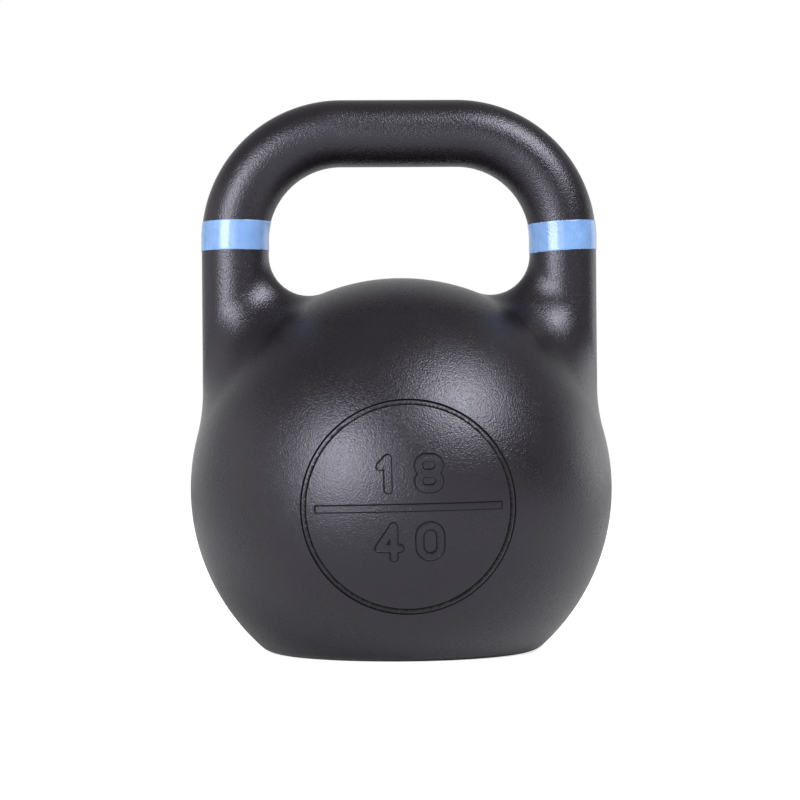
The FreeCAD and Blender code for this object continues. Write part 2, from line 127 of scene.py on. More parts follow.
class KettlebellHandle(bpy.types.PropertyGroup):
    """Sizes of the handle and its bands."""

    bar_radius: length("Bar radius", "Radius of the round bar", 16.7 * MM)
    bend_radius: length("Bend radius", "Radius of the bar's centre line in the bends", 53.2 * MM)
    spigot_radius: length("Spigot radius", "Radius of the pegs under the handle", 8 * MM)
    spigot_length: length("Spigot length", "Length of the pegs under the handle", 20 * MM)
    spigot_room: length("Spigot room", "Clearance round and under each peg", 0.2 * MM)
    bevel: length("Weld bevel", "Depth of the bevels that the welds fill", 2.5 * MM)
    band_film: length("Band film", "Thickness of the colour bands", 0.22 * MM)
    band_waver: length("Band waver", "How far a band's painted edge wanders", 0.16 * MM)
    right_drop: length("Right band drop", "How far the right band sits lower", 1.2 * MM)
    right_tilt: angle("Right band tilt", "Tilt of the right band, outer side up", 3.3)


class KettlebellMark(bpy.types.PropertyGroup):
    """Sizes of the sunk ring, divider and numbers on the front."""

    drop: length("Drop", "How far the ring's middle is below the ball's centre", 6.5 * MM)
    turn: angle("Turn", "How far the mark is turned, counter-clockwise from the front", 0.9)
    depth: length("Depth", "Depth of the sunk mark", 0.9 * MM)
    edge: length("Edge", "Width of the sloping wall round each sunk shape", 0.36 * MM)
    ring_radius: length("Ring radius", "Outside radius of the ring groove", 50 * MM)
    ring_width: length("Ring width", "Width of the ring groove", 2.3 * MM)
    bar_length: length("Divider length", "Length of the bar between the numbers", 87 * MM)
    bar_width: length("Divider width", "Width of the bar between the numbers", 3.4 * MM)
    numeral_height: length("Numeral height", "Height of the numbers", 18.2 * MM)
    numeral_width: length("Numeral width", "Width of one numeral", 13.5 * MM)
    numeral_stroke: length("Numeral stroke", "Width of a numeral's strokes", 3.8 * MM)
    numeral_space: length("Numeral space", "Gap between two numerals", 5.5 * MM)
    row_offset: length("Row offset", "From the divider's middle to a number's middle", 15.7 * MM)
    grain: length("Trace grid", "Grid that the sunk outlines are traced on", 0.7 * MM)


class KettlebellFinish(bpy.types.PropertyGroup):
    """Colours and roughness of the finishes."""

    coat: colour("Coat", "Black powder coat", (0.0062, 0.0046, 0.0062))
    coat_roughness: number("Coat roughness", "Roughness of the powder coat", 0.29)
    band: colour("Band", "Light blue band paint", (0.128, 0.240, 0.47))
    band_roughness: number("Band roughness", "Roughness of the band paint", 0.22)
    peel_height: length("Peel height", "Height of the coat's orange peel", 0.21 * MM)


class KettlebellStage(bpy.types.PropertyGroup):
    """Where the camera stands and how the studio is lit."""

    camera_place: bpy.props.FloatVectorProperty(
        name="Camera place", description="Where the camera stands", subtype="TRANSLATION",
        default=(-0.0440, -1.2723, 0.1118), size=3)
    camera_turn: angle("Camera turn", "Turn of the camera towards +X from straight ahead", 1.98)
    camera_roll: angle("Camera roll", "Roll of the camera", 0.45)
    lens: number("Lens", "Focal length in millimetres on a 36 mm sensor", 114.5)
    shift_up: bpy.props.FloatProperty(name="Shift up", description="Vertical shift of the lens",
                                      default=0.033)
    shift_side: bpy.props.FloatProperty(name="Shift side", default=-0.0009,
                                        description="Sideways shift of the lens")
    surround: colour("Surround", "Colour of the white surround", (1.0, 1.0, 1.0))
    room_glow: number("Room glow", "Brightness of the room behind the camera", 0.25)
    surround_strength: number("Surround strength", "Brightness of the white surround", 0.65)
    floor_size: length("Floor size", "Width of the floor", 12)
    floor_glow: number("Floor glow", "How much whiter the floor looks than it lights", 0.78)
    floor: colour("Floor", "Colour of the plain floor", (0.7, 0.7, 0.7))


# ---- meshes

def add_object(name, data):
    """An object with this data, linked into the scene."""
    thing = bpy.data.objects.new(name, data)
    bpy.context.scene.collection.objects.link(thing)
    return thing


def new_piece(name, points, faces, material):
    """A mesh object at the origin from arrays of points and faces."""
    mesh = bpy.data.meshes.new(name)
    mesh.from_pydata([tuple(p) for p in points], [], [tuple(int(i) for i in f) for f in faces])
    mesh.materials.append(material)
    mesh.shade_smooth()
    return add_object(name, mesh)


def finish_piece(piece, node):
    """Let a piece ride on the bell in place of the CAD node."""
    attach(piece, "root")
    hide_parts(node)


def ring_faces(lower, upper):
    """Quads between two closed rings of the same length."""
    count = len(lower)
    return [(lower[i], lower[(i + 1) % count], upper[(i + 1) % count], upper[i])
            for i in range(count)]


def turned_rings(profile, count, start):
    """Points and ring indices of a profile of (radius, height) turned about Z."""
    turn = np.linspace(0, 2 * np.pi, count, endpoint=False)
    points, rings = [], []
    for radius, height in profile:
        rings.append(list(range(start + len(points), start + len(points) + count)))
        points += list(np.c_[radius * np.cos(turn), radius * np.sin(turn),
                             np.full(count, height)])
    return points, rings


def arc_profile(centre, radius, first, last, steps):
    """Points of (radius, height) along an arc from one angle to another."""
    turns = np.linspace(first, last, steps)
    return [(centre[0] + radius * math.cos(t), centre[1] + radius * math.sin(t)) for t in turns]


def vertex_points(mesh):
    points = np.empty(len(mesh.vertices) * 3)
    mesh.vertices.foreach_get("co", points)
    return points.reshape(-1, 3)


def close_up(piece, tolerance):
    """Join doubles, turn every face outwards and stop if the piece is not closed."""
    work = bmesh.new()
    work.from_mesh(piece.data)
    bmesh.ops.remove_doubles(work, verts=work.verts, dist=tolerance)
    bmesh.ops.recalc_face_normals(work, faces=work.faces)
    gaps = sum(1 for e in work.edges if not e.is_manifold)
    work.to_mesh(piece.data)
    work.free()
    if gaps:
        raise RuntimeError(f"{piece.name} has {gaps} open or doubled edges")


# ---- the sunk mark

class MarkShape:
    """Signed distance, in the mark's own plane, to the ring, divider and numbers."""

    def __init__(self, mark):
        self.mark = mark
        self.numerals = self.lay_out_numerals()

    def lay_out_numerals(self):
        """Strokes (start, end) and ovals (middle, half width, half height) of both numbers."""
        m = self.mark
        pitch = m.numeral_width + m.numeral_space
        strokes, ovals = [], []
        for text, row in NUMBERS:
            left = -(pitch * (len(text) - 1) + m.numeral_width) / 2
            for place, digit in enumerate(text):
                middle = np.array([left + place * pitch + m.numeral_width / 2,
                                   row * m.row_offset])
                self.add_numeral(digit, middle, strokes, ovals)
        return strokes, ovals

    def add_numeral(self, digit, middle, strokes, ovals):
        m = self.mark
        inset = m.numeral_stroke / 2
        reach = np.array([m.numeral_width / 2 - inset, m.numeral_height / 2 - inset])

        def at(across, up):
            return middle + (2 * np.array([across, up]) - 1) * reach

        for start, end in NUMERAL_LINES.get(digit, ()):
            strokes.append((at(*start), at(*end)))
        if digit == "0":
            ovals.append((middle, reach[0], reach[1]))
        if digit == "8":
            half = reach[1] / 2
            for row in (-1, 1):
                ovals.append((middle + np.array([0, row * half]), reach[0], half))

    def distance(self, x, z):
        """Below zero inside a sunk shape, in metres from its outline."""
        m = self.mark
        ring_middle = m.ring_radius - m.ring_width / 2
        best = np.abs(np.hypot(x, z) - ring_middle) - m.ring_width / 2
        best = np.minimum(best, box_distance(x, z, m.bar_length / 2, m.bar_width / 2))
        strokes, ovals = self.numerals
        for start, end in strokes:
            best = np.minimum(best, segment_distance(x, z, start, end) - m.numeral_stroke / 2)
        for middle, half_width, half_height in ovals:
            radius = min(half_width, half_height)
            reach = np.array([half_width - radius, half_height - radius])
            line = segment_distance(x, z, middle - reach, middle + reach)
            best = np.minimum(best, np.abs(line - radius) - m.numeral_stroke / 2)
        return best


def segment_distance(x, z, start, end):
    along = end - start
    share = ((x - start[0]) * along[0] + (z - start[1]) * along[1]) / max(along @ along, 1e-12)
    share = np.clip(share, 0, 1)
    return np.hypot(x - start[0] - share * along[0], z - start[1] - share * along[1])


def box_distance(x, z, half_width, half_height):
    across = np.abs(x) - half_width
    up = np.abs(z) - half_height
    outside = np.hypot(np.maximum(across, 0), np.maximum(up, 0))
    return outside + np.minimum(np.maximum(across, up), 0)


def trace_level(field, level, reach, spacing):
    """Points and short edges where a field over a square grid crosses a level."""
    ticks = np.arange(-reach, reach + spacing, spacing)
    x, z = np.meshgrid(ticks, ticks, indexing="ij")
    value = field(x, z) - level
    points, edges, known = [], [], {}

    def crossing(a, b):
        key = (a, b) if a < b else (b, a)
        if key not in known:
            share = value[key[0]] / (value[key[0]] - value[key[1]])
            known[key] = len(points)
            points.append((x[key[0]] + share * (x[key[1]] - x[key[0]]),
                           z[key[0]] + share * (z[key[1]] - z[key[0]])))
        return known[key]

    inside = value < 0
    mixed = inside[:-1, :-1].astype(int) + inside[1:, :-1] + inside[:-1, 1:] + inside[1:, 1:]
    for i, j in np.argwhere((mixed > 0) & (mixed < 4)):
        corners = [(i, j), (i + 1, j), (i + 1, j + 1), (i, j + 1)]
        cut = [crossing(a, b) for a, b in zip(corners, corners[1:] + corners[:1])
               if inside[a] != inside[b]]
        edges += [(cut[k], cut[k + 1]) for k in range(0, len(cut) - 1, 2)]
    return settle(field, level, np.array(points)), edges


def settle(field, level, points):
    """Move traced points along the field's slope until they lie on the level."""
    step = 0.02 * MM
    least_slope = 0.5
    for _ in range(3):
        x, z = points.T
        slope_x = (field(x + step, z) - field(x - step, z)) / (2 * step)
        slope_z = (field(x, z + step) - field(x, z - step)) / (2 * step)
        steep = np.maximum(slope_x ** 2 + slope_z ** 2, least_slope)
        shift = (field(x, z) - level) / steep
        points = np.c_[x - shift * slope_x, z - shift * slope_z]
    return points


# ---- ball shell

def sphere_to_plane(points, radius):
    """Stereographic map of points on a sphere about the origin, seen from its lowest point."""
    scale = 1 / (radius + points[:, 2])
    return points[:, :2] * scale[:, None]


def plane_to_sphere(flat, radius):
    square = (flat ** 2).sum(axis=1)
    z = radius * (1 - square) / (1 + square)
    return np.c_[flat * (radius + z)[:, None], z]


def even_points(radius, spacing):
    """Points spread evenly over a sphere, on a spiral that turns by the golden angle."""
    share_of_square = 0.87
    golden_angle = math.pi * (3 - math.sqrt(5))
    count = int(4 * math.pi * radius ** 2 / (spacing ** 2 * share_of_square))
    step = np.arange(count) + 0.5
    z = 1 - 2 * step / count
    turn = step * golden_angle
    flat = np.sqrt(1 - z * z)
    return radius * np.c_[flat * np.cos(turn), flat * np.sin(turn), z]


class BallSkin:
    """The ball's outside: a sphere with openings for the horns and base, and the mark sunk in."""

    COLUMNS = 160
    BLEND_STEPS = 16
    LEG_ROWS = 12
    BASE_COLUMNS = 216
    EDGE_STEPS = 10
    CAVITY_STEPS = 40
    # How far the outside of the blend stays narrow before it widens
    BLEND_POWER = 3
    # Lines traced along the sunk outlines and the room kept free round them, in wall widths
    LINE_LEVELS = (1.3, 0.55, 0.3, 0.1, -0.1, -0.3, -0.55, -1.3)
    LINE_ROOM = 1.9
    # Room kept free at the horns' rings, above the base ring in skin spacings, and at the
    # cavity's pole in radians
    RING_ROOM = 1.2 * MM
    BASE_ROOM = 0.4
    POLE_ROOM = 0.02
    # Where the painted shade on the sunk mark's walls ends and how far it fades, in wall widths,
    # and its strength inside the ring
    PAINTED_SHADE_END = 1.28
    PAINTED_SHADE_FADE = 0.7
    INNER_PAINTED_SHADE = 0.75

    def __init__(self, body, handle, mark):
        self.body, self.handle, self.mark = body, handle, mark
        self.radius = body.ball_radius
        self.centre = math.sqrt(self.radius ** 2 - body.base_radius ** 2)
        self.leg_x = LEG_REACH - handle.bar_radius
        self.joint = JOINT
        self.shape = MarkShape(mark)
        self.points, self.faces = [], []

    def add(self, points):
        first = len(self.points)
        self.points += [np.asarray(p) for p in points]
        return list(range(first, len(self.points)))

    # the horns

    def blend_radius(self, turn, side):
        """The blend grows from the inside of the window to the outside of the leg."""
        outward = 0.5 + 0.5 * side * np.cos(turn)
        share = outward ** self.BLEND_POWER
        return self.body.inner_blend + (self.body.outer_blend - self.body.inner_blend) * share

    def blend_arc(self, turn, side):
        """Points of the blend, from the leg down to the ball, at one turn round a leg."""
        blend = self.blend_radius(turn, side)
        out = np.array([math.cos(turn), math.sin(turn), 0])
        foot = np.array([side * self.leg_x, 0, self.centre])
        middle = foot + out * (self.handle.bar_radius + blend)
        flat = math.hypot(middle[0], middle[1])
        middle[2] = self.centre + math.sqrt((self.radius + blend) ** 2 - flat ** 2)
        to_leg = -out
        to_ball = np.array([0, 0, self.centre]) - middle
        to_ball /= np.linalg.norm(to_ball)
        sweep = math.acos(float(np.clip(to_leg @ to_ball, -1, 1)))
        shares = np.linspace(0, 1, self.BLEND_STEPS)
        return [middle + blend * (math.sin((1 - s) * sweep) * to_leg + math.sin(s * sweep)
                                  * to_ball) / math.sin(sweep) for s in shares]

    def make_horn(self, side):
        """Leg, blend, bevel and socket of one horn; gives back the ring that lies on the ball."""
        turns = np.linspace(0, 2 * np.pi, self.COLUMNS, endpoint=False)
        arcs = np.array([self.blend_arc(t, side) for t in turns])
        rings = [self.add(arcs[:, k]) for k in range(self.BLEND_STEPS)]
        h = self.handle
        out = np.c_[np.cos(turns), np.sin(turns), np.zeros(self.COLUMNS)]
        foot = np.array([side * self.leg_x, 0, 0])
        leg_top = self.joint - h.bevel
        above = []
        for k in range(1, self.LEG_ROWS + 1):
            row = foot + out * h.bar_radius
            row[:, 2] = arcs[:, 0, 2] + (leg_top - arcs[:, 0, 2]) * k / self.LEG_ROWS
            above.append(self.add(row))
        socket_radius = h.spigot_radius + h.spigot_room
        socket_floor = self.joint - h.spigot_length - h.spigot_room
        tops = ((h.bar_radius - h.bevel, self.joint), (socket_radius, self.joint),
                (socket_radius, socket_floor))
        for radius, height in tops:
            row = foot + out * radius
            row[:, 2] = height
            above.append(self.add(row))
        chain = rings[::-1] + above
        for lower, upper in zip(chain, chain[1:]):
            self.faces += ring_faces(lower, upper)
        self.faces.append(tuple(above[-1]))
        return rings[-1]

    # the base and the cavity

    def base_profile(self):
        """Outline of (radius, height) from the ball's lower edge inwards and up the cavity."""
        b = self.body
        edge_rise = self.centre - b.base_edge
        edge_x = math.sqrt((self.radius - b.base_edge) ** 2 - edge_rise ** 2)
        lowest = -math.pi / 2
        leave = math.atan2(-edge_rise, edge_x)
        profile = arc_profile((edge_x, b.base_edge), b.base_edge, leave, lowest,
                              self.EDGE_STEPS)
        weld_low, weld_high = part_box("base_weld_ring")
        plate_reach, plate_top = PLATE_RADIUS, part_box("base_plate")[1][2]
        mouth = edge_x - b.rim
        recess = plate_reach + b.plate_room
        opening = plate_reach - b.seat_width
        floor = plate_top + b.seat_thickness
        inside = self.radius - b.wall
        floor_r = math.sqrt(inside ** 2 - (self.centre - floor) ** 2)
        profile += [(mouth, 0), (mouth, weld_low[2]), (recess, weld_high[2]),
                    (recess, plate_top), (opening, plate_top), (opening, floor)]
        first = math.atan2(floor - self.centre, floor_r)
        profile += arc_profile((0, self.centre), inside, first, math.pi / 2 - self.POLE_ROOM,
                               self.CAVITY_STEPS)
        return profile

    def make_base(self):
        """Rounded edge, flat ring, recess, seat and cavity; gives back the ring on the ball."""
        points, rings = turned_rings(self.base_profile(), self.BASE_COLUMNS, len(self.points))
        self.add(points)
        for outer, inner in zip(rings, rings[1:]):
            self.faces += ring_faces(outer, inner)
        self.faces.append(tuple(rings[-1]))
        return rings[0]

    # the skin

    def mark_plane(self, points):
        """Where points lie in the mark's own plane, turned upright."""
        x = points[:, 0]
        z = points[:, 2] - (self.centre - self.mark.drop)
        c, s = math.cos(self.mark.turn), math.sin(self.mark.turn)
        return x * c + z * s, -x * s + z * c

    def from_mark_plane(self, x, z):
        """Points on the front of the ball at places in the mark's plane."""
        c, s = math.cos(self.mark.turn), math.sin(self.mark.turn)
        across = x * c - z * s
        up = x * s + z * c - self.mark.drop
        back = np.sqrt(self.radius ** 2 - across ** 2 - up ** 2)
        return np.c_[across, -back, up]

    def sunk(self, distance):
        """Depth at a signed distance from a sunk outline: rounded lip, wall, rounded floor."""
        share = np.clip(0.5 - distance / self.mark.edge, 0, 1)
        return self.mark.depth * share * share * (3 - 2 * share)

    def mark_lines(self):
        """Points and edges on the ball that follow the sunk outlines."""
        edge = self.mark.edge
        reach = self.mark.ring_radius + 2 * edge
        points, edges = [], []
        for share in self.LINE_LEVELS:
            level, short = trace_level(self.shape.distance, share * edge, reach, self.mark.grain)
            edges += [(a + len(points), b + len(points)) for a, b in short]
            points += list(self.from_mark_plane(level[:, 0], level[:, 1]))
        return np.array(points), edges

    def loose_points(self):
        """Even points over the ball, closer together inside the ring."""
        wide = even_points(self.radius, self.body.skin_spacing)
        fine = even_points(self.radius, self.body.skin_spacing * 0.5)
        near = self.mark.ring_radius + self.body.skin_spacing
        for cloud, keep_near in ((wide, False), (fine, True)):
            x, z = self.mark_plane(cloud + np.array([0, 0, self.centre]))
            close = (np.hypot(x, z) < near) & (cloud[:, 1] < 0)
            clear = np.abs(self.shape.distance(x, z)) > self.LINE_ROOM * self.mark.edge
            yield cloud[close & clear] if keep_near else cloud[~close]

    def make_skin(self, loops):
        """Triangles between the base ring and the horns' rings, with the mark sunk in."""
        centre = np.array([0, 0, self.centre])
        loop_points = np.array([self.points[i] for loop in loops for i in loop]) - centre
        starts = np.cumsum([0] + [len(loop) for loop in loops])
        edges = []
        for loop, first in zip(loops, starts):
            edges += [(first + i, first + (i + 1) % len(loop)) for i in range(len(loop))]
        lines, line_edges = self.mark_lines()
        edges += [(a + len(loop_points), b + len(loop_points)) for a, b in line_edges]
        loose = np.vstack(list(self.loose_points()))
        loose = loose[self.clear_of_openings(loose, loop_points)]
        ball = np.vstack([loop_points, lines, loose])
        flat = sphere_to_plane(ball, self.radius)
        made = geometry.delaunay_2d_cdt([Vector(p) for p in flat], edges, [], 1, 1e-9, True)
        flat_out, triangles, origins = made[0], made[2], made[3]
        flat_out = np.array([tuple(v) for v in flat_out])
        lifted = plane_to_sphere(flat_out, self.radius)
        x, z = self.mark_plane(lifted + centre)
        depth = np.where(lifted[:, 1] < 0, self.sunk(self.shape.distance(x, z)), 0)
        lifted = lifted * (1 - depth / self.radius)[:, None] + centre
        all_loops = [i for loop in loops for i in loop]
        index = {}
        for new, old in enumerate(origins):
            fixed = [o for o in old if o < len(all_loops)]
            if fixed:
                index[new] = all_loops[fixed[0]]
        fresh = [n for n in range(len(lifted)) if n not in index]
        index.update(zip(fresh, self.add(lifted[fresh])))
        tri = np.array(triangles)
        middles = flat_out[tri].mean(axis=1)
        keep = np.ones(len(tri), bool)
        for _, ring in self.hole_middles():
            keep &= ~inside_loop(middles, ring)
        outer_ring = sphere_to_plane(loop_points[starts[0]:starts[1]], self.radius)
        keep &= inside_loop(middles, outer_ring)
        self.faces += [tuple(index[i] for i in t) for t in tri[keep]]

    def clear_of_openings(self, cloud, loop_points):
        """Which loose points are far enough from every ring they would crowd."""
        lowest = loop_points[0][2] + self.body.skin_spacing * self.BASE_ROOM
        keep = cloud[:, 2] > lowest
        flat = sphere_to_plane(cloud, self.radius)
        for middle, ring in self.hole_middles():
            reach = np.linalg.norm(ring - middle, axis=1).mean() * self.radius
            grown = middle + (ring - middle) * (1 + self.RING_ROOM / reach)
            keep &= ~inside_loop(flat, grown)
        return keep

    def hole_middles(self):
        """The horns' rings in the flat map, each with its middle."""
        centre = np.array([0, 0, self.centre])
        for loop in self.horn_loops:
            ring = sphere_to_plane(np.array([self.points[i] for i in loop]) - centre, self.radius)
            yield ring.mean(axis=0), ring

    def keep_mark_smooth(self, mesh):
        """The walls of the sunk mark stay smooth although they are steep."""
        points = vertex_points(mesh)
        x, z = self.mark_plane(points)
        on_mark = (np.hypot(x, z) < self.mark.ring_radius * 1.05) & (points[:, 1] < 0)
        on_mark &= np.linalg.norm(points - [0, 0, self.centre], axis=1) > self.radius * 0.98
        for edge in mesh.edges:
            if on_mark[edge.vertices[0]]:
                edge.use_edge_sharp = False

    def paint_mark_shade(self, mesh):
        """An attribute that is 1 on the steep walls of the sunk mark, where shade is painted: the
        coat there is turned black, duller and metallic.
        """
        points = vertex_points(mesh)
        x, z = self.mark_plane(points)
        near = np.abs(self.shape.distance(x, z)) / self.mark.edge
        from_middle = np.hypot(x, z) / self.mark.ring_radius
        value = np.clip((self.PAINTED_SHADE_END - near) / self.PAINTED_SHADE_FADE, 0, 1)
        value[(points[:, 1] > 0) | (from_middle > 1.1)] = 0
        value[from_middle < 0.93] *= self.INNER_PAINTED_SHADE
        mesh.attributes.new(PAINTED_SHADE, "FLOAT", "POINT").data.foreach_set("value", value)

    def build(self):
        self.horn_loops = [self.make_horn(side) for side in SIDES.values()]
        base = self.make_base()
        self.make_skin([base] + self.horn_loops)
        return self.points, self.faces


def inside_loop(points, loop):
    """Which flat points are inside a closed loop."""
    inside = np.zeros(len(points), bool)
    x, y = points[:, 0], points[:, 1]
    for (x0, y0), (x1, y1) in zip(loop, np.roll(loop, -1, axis=0)):
        if y0 == y1:
            continue
        crosses = (y0 > y) != (y1 > y)
        inside ^= crosses & (x < (x1 - x0) * (y - y0) / (y1 - y0) + x0)
    return inside


# ---- node helpers

def feed(tree, node, inputs):
    """Link each input of a node to a socket, or give it a value."""
    for key, value in inputs.items():
        if isinstance(value, bpy.types.NodeSocket):
            tree.links.new(value, node.inputs[key])
        else:
            node.inputs[key].default_value = value


def add_node(tree, kind, inputs=None, **settings):
    """A node with its settings and its inputs."""
    node = tree.nodes.new(kind)
    for key, value in settings.items():
        setattr(node, key, value)
    feed(tree, node, inputs or {})
    return node


def new_material(name):
    """A material with its tree, its surface shader and the Object coordinates."""
    material = bpy.data.materials.new(name)
    material.use_nodes = True
    tree = material.node_tree
    surface = next(n for n in tree.nodes if n.type == "BSDF_PRINCIPLED")
    place = add_node(tree, "ShaderNodeTexCoord").outputs["Object"]
    return material, tree, surface, place


def noise(tree, place, scale, detail=2.0, roughness=0.5):
    inputs = {"Vector": place, "Scale": scale, "Detail": detail, "Roughness": roughness}
    return add_node(tree, "ShaderNodeTexNoise", inputs).outputs["Fac"]


def spread(tree, value, low, high, start=0.3, end=0.7, **settings):
    """Spread part of a value's range, at first a noise's middle part, over another."""
    ends = {"Value": value, "From Min": start, "From Max": end, "To Min": low, "To Max": high}
    return add_node(tree, "ShaderNodeMapRange", ends, **settings).outputs["Result"]


def blend_colour(tree, share, first, second):
    """A colour between two others, each a colour or a socket, by a share."""
    ends = {0: share}
    for key, end in ((6, first), (7, second)):
        ends[key] = end if isinstance(end, bpy.types.NodeSocket) else (*end, 1)
    return add_node(tree, "ShaderNodeMix", ends, data_type="RGBA").outputs[2]


def bump(tree, surface, height, distance):
    node = add_node(tree, "ShaderNodeBump", {"Height": height, "Distance": distance,
                                             "Strength": 1.0})
    tree.links.new(node.outputs["Normal"], surface.inputs["Normal"])


def worked_out(tree, operation, *values):
    """The result of one step of arithmetic on sockets or numbers."""
    return add_node(tree, "ShaderNodeMath", dict(enumerate(values)),
                    operation=operation).outputs[0]


def scaled(tree, value, factor):
    return worked_out(tree, "MULTIPLY", value, factor)


def added(tree, first, second):
    return worked_out(tree, "ADD", first, second)


# ---- finishes

# Sizes of the coat's noises, per metre, and its reflection
PEEL_SCALE, WAVE_SCALE, CLOUD_SCALE = 1350, 420, 45
COAT_SPECULAR = 0.593
COAT_TINT = (0.843, 0.843, 1, 1)
# Painted shade: the black put on the sunk mark's walls
PAINTED_SHADE_COLOUR = (0.001, 0.001, 0.001)


def powder_coat(finish):
    """Black powder coat: fine orange peel, a slow waviness and faint cloudy sheen."""
    material, tree, surface, place = new_material("black_powder_coat")
    peel = noise(tree, place, PEEL_SCALE, 1.5)
    wave = noise(tree, place, WAVE_SCALE, 1.0)
    cloud = noise(tree, place, CLOUD_SCALE, 3.0)
    height = added(tree, peel, scaled(tree, wave, 0.3))
    bump(tree, surface, height, finish.peel_height)
    dark = [c * 0.9 for c in finish.coat]
    light = [c * 1.12 for c in finish.coat]
    tone = blend_colour(tree, spread(tree, cloud, 0, 1), dark, light)
    # Painted shade on the sunk mark's walls: black base colour, more roughness and metallic, so
    # they reflect almost nothing
    painted_shade = add_node(tree, "ShaderNodeAttribute", attribute_name=PAINTED_SHADE).outputs["Fac"]
    shaded = blend_colour(tree, painted_shade, tone, PAINTED_SHADE_COLOUR)
    rough = spread(tree, added(tree, scaled(tree, cloud, 0.5), scaled(tree, peel, 0.5)),
                   finish.coat_roughness - 0.04, finish.coat_roughness + 0.04)
    dull = added(tree, rough, scaled(tree, painted_shade, 0.6))
    feed(tree, surface, {"Base Color": shaded, "Roughness": dull,
                         "Metallic": scaled(tree, painted_shade, 0.8),
                         "Specular IOR Level": COAT_SPECULAR, "Specular Tint": COAT_TINT})
    return material


def band_paint(finish):
    """Glossy light blue band paint over the coat's orange peel."""
    material, tree, surface, place = new_material("blue_band_paint")
    peel = noise(tree, place, 900, 2.0)
    streak = noise(tree, place, 160, 3.0, 0.6)
    bump(tree, surface, added(tree, peel, scaled(tree, streak, 1.5)), finish.peel_height * 0.5)
    deep = [c * 0.92 for c in finish.band]
    pale = [min(1, c * 1.08 + 0.01) for c in finish.band]
    tone = blend_colour(tree, spread(tree, streak, 0, 1), deep, pale)
    rough = spread(tree, streak, finish.band_roughness - 0.04, finish.band_roughness + 0.06)
    feed(tree, surface, {"Base Color": tone, "Roughness": rough, "Coat Weight": 0.35,
                         "Coat Roughness": 0.12})
    return material


def bare_metal(name, dark, light, roughness, grain, depth):
    """Bare metal with a fine grain and uneven brightness."""
    material, tree, surface, place = new_material(name)
    fine = noise(tree, place, grain, 3.0, 0.6)
    cloud = noise(tree, place, grain * 0.12, 2.0)
    tone = blend_colour(tree, spread(tree, cloud, 0, 1), dark, light)
    rough = spread(tree, fine, roughness - 0.08, roughness + 0.08)
    feed(tree, surface, {"Base Color": tone, "Roughness": rough, "Metallic": 1.0})
    bump(tree, surface, fine, depth)
    return material


def pad_rubber():
    """Matte black rubber with a fine texture."""
    material, tree, surface, place = new_material("pad_rubber")
    fine = noise(tree, place, 1100, 3.0, 0.7)
    tone = blend_colour(tree, fine, (0.010, 0.010, 0.010), (0.022, 0.022, 0.022))
    feed(tree, surface, {"Base Color": tone, "Roughness": spread(tree, fine, 0.7, 0.9)})
    bump(tree, surface, fine, 0.05 * MM)
    return material


def coat_material():
    """The powder coat, made once and shared by every coated piece."""
    known = bpy.data.materials.get("black_powder_coat")
    return known or powder_coat(bpy.context.scene.kettlebell_finish)


# ---- geometry node trees

def new_tree(name, sizes):
    """A geometry node tree with named inputs; gives back the tree and its input node."""
    tree = bpy.data.node_groups.new(name, "GeometryNodeTree")
    tree.interface.new_socket("Geometry", in_out="OUTPUT", socket_type="NodeSocketGeometry")
    for label, value in sizes.items():
        kind = "NodeSocketInt" if isinstance(value, int) else "NodeSocketFloat"
        tree.interface.new_socket(label, in_out="INPUT", socket_type=kind)
    tree.interface.new_socket("Finish", in_out="INPUT", socket_type="NodeSocketMaterial")
    return tree, tree.nodes.new("NodeGroupInput").outputs


def end_tree(tree, geometry_socket, finish):
    """Shade smooth, realize, set the material and hand the geometry out."""
    smooth = add_node(tree, "GeometryNodeSetShadeSmooth", {"Geometry": geometry_socket})
    real = add_node(tree, "GeometryNodeRealizeInstances", {"Geometry": smooth.outputs[0]})
    coated = add_node(tree, "GeometryNodeSetMaterial", {"Geometry": real.outputs[0],
                                                        "Material": finish})
    add_node(tree, "NodeGroupOutput", {"Geometry": coated.outputs[0]})


def run_tree(name, tree, sizes, material):
    """Evaluate a tree with these sizes and keep the result as a plain mesh piece."""
    carrier = add_object(name, bpy.data.meshes.new(name + "_start"))
    modifier = carrier.modifiers.new("Shape", "NODES")
    modifier.node_group = tree
    values = dict(sizes, Finish=material)
    for item in tree.interface.items_tree:
        if item.in_out == "INPUT":
            modifier[item.identifier] = values[item.name]
    bpy.context.view_layer.update()
    made = carrier.evaluated_get(bpy.context.evaluated_depsgraph_get())
    mesh = bpy.data.meshes.new_from_object(made)
    carrier.modifiers.clear()
    carrier.data = mesh
    mesh.name = name
    return carrier


